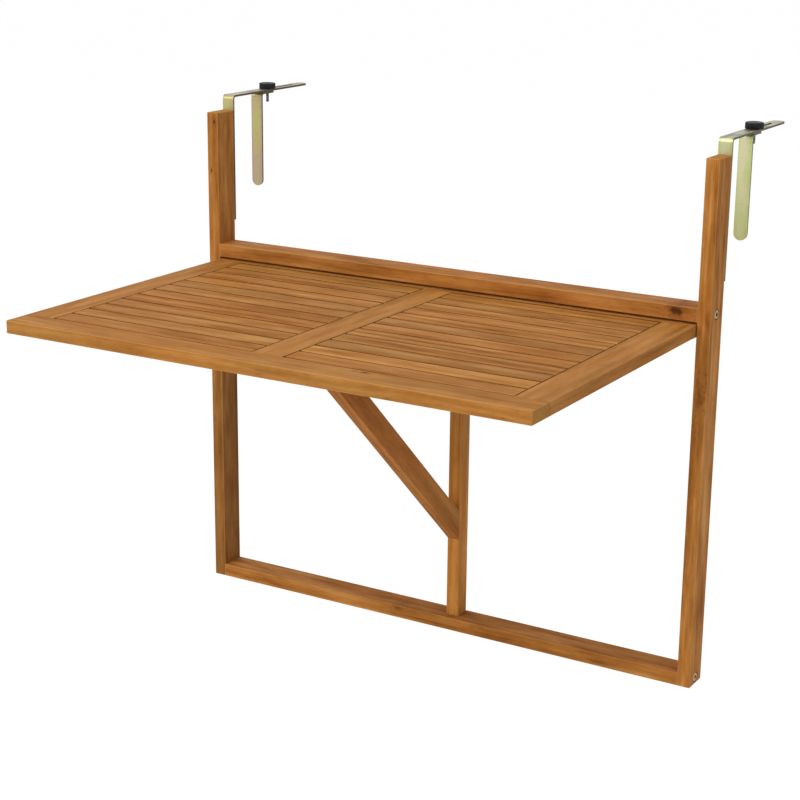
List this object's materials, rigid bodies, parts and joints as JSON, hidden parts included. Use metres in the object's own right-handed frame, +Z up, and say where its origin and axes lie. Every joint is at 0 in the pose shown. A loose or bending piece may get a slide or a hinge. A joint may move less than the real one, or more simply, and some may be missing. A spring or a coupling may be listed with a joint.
{
  "type": "folding balcony table",
  "caption": "Slatted timber table top on a frame that hangs from a balcony railing by adjustable steel hooks, carried by a swing-out diagonal brace.",
  "frame": {"origin": "midway between the hooks on the railing's top edge: the frame's back face is at Y = 0 and the underside of the hook straps at Z = 0", "axes": "+Z up, +X along the railing to the right as seen from the table's front, the top reaches towards -Y"},
  "size_m": [0.844, 0.74, 0.7921],
  "materials": {
    "timber": "oiled hardwood, satin",
    "plated_steel": "yellow zinc plated, satin",
    "knob_plastic": "black, matt",
    "bright_steel": "zinc plated"
  },
  "bodies": {
    "frame": {"left_upright": "timber", "right_upright": "timber", "upper_rail": "timber", "bottom_rail": "timber", "frame_bolts": "bright_steel", "pivot_pins": "bright_steel", "left_hook_strap": "plated_steel", "right_hook_strap": "plated_steel", "strap_screws": "bright_steel"},
    "table": {"top_front_rail": "timber", "top_back_rail": "timber", "top_left_end_rail": "timber", "top_right_end_rail": "timber", "top_centre_rail": "timber", "left_slat_01": "timber", "left_slat_02": "timber", "left_slat_03": "timber", "left_slat_04": "timber", "left_slat_05": "timber", "left_slat_06": "timber", "left_slat_07": "timber", "left_slat_08": "timber", "left_slat_09": "timber", "left_slat_10": "timber", "left_slat_11": "timber", "left_slat_12": "timber", "right_slat_01": "timber", "right_slat_02": "timber", "right_slat_03": "timber", "right_slat_04": "timber", "right_slat_05": "timber", "right_slat_06": "timber", "right_slat_07": "timber", "right_slat_08": "timber", "right_slat_09": "timber", "right_slat_10": "timber", "right_slat_11": "timber", "right_slat_12": "timber"},
    "gate": {"gate_post": "timber", "gate_brace": "timber", "gate_pins": "bright_steel", "brace_screws": "bright_steel"},
    "left_clamp": {"left_clamp_leg": "plated_steel"},
    "left_knob": {"left_clamp_knob": "knob_plastic", "left_clamp_stud": "bright_steel"},
    "right_clamp": {"right_clamp_leg": "plated_steel"},
    "right_knob": {"right_clamp_knob": "knob_plastic", "right_clamp_stud": "bright_steel"}
  },
  "joints": [
    {"name": "table_tilt", "type": "hinge", "parent": "frame", "child": "table", "pos_m": [0, -0.0345, -0.2587], "axis": [-1, 0, 0], "range_deg": [0, 20]},
    {"name": "gate_swing", "type": "hinge", "parent": "frame", "child": "gate", "pos_m": [0.022, -0.01625, -0.76], "axis": [0, 0, -1], "range_deg": [0, 90]},
    {"name": "left_clamp_slide", "type": "slide", "parent": "frame", "child": "left_clamp", "axis": [0, 1, 0], "range_m": [-0.008, 0.07]},
    {"name": "left_knob_turn", "type": "hinge", "parent": "left_clamp", "child": "left_knob", "pos_m": [-0.409, 0.107, 0.003], "axis": [0, 0, 1], "continuous": true},
    {"name": "right_clamp_slide", "type": "slide", "parent": "frame", "child": "right_clamp", "axis": [0, 1, 0], "range_m": [-0.008, 0.07]},
    {"name": "right_knob_turn", "type": "hinge", "parent": "right_clamp", "child": "right_knob", "pos_m": [0.409, 0.107, 0.003], "axis": [0, 0, 1], "continuous": true}
  ]
}
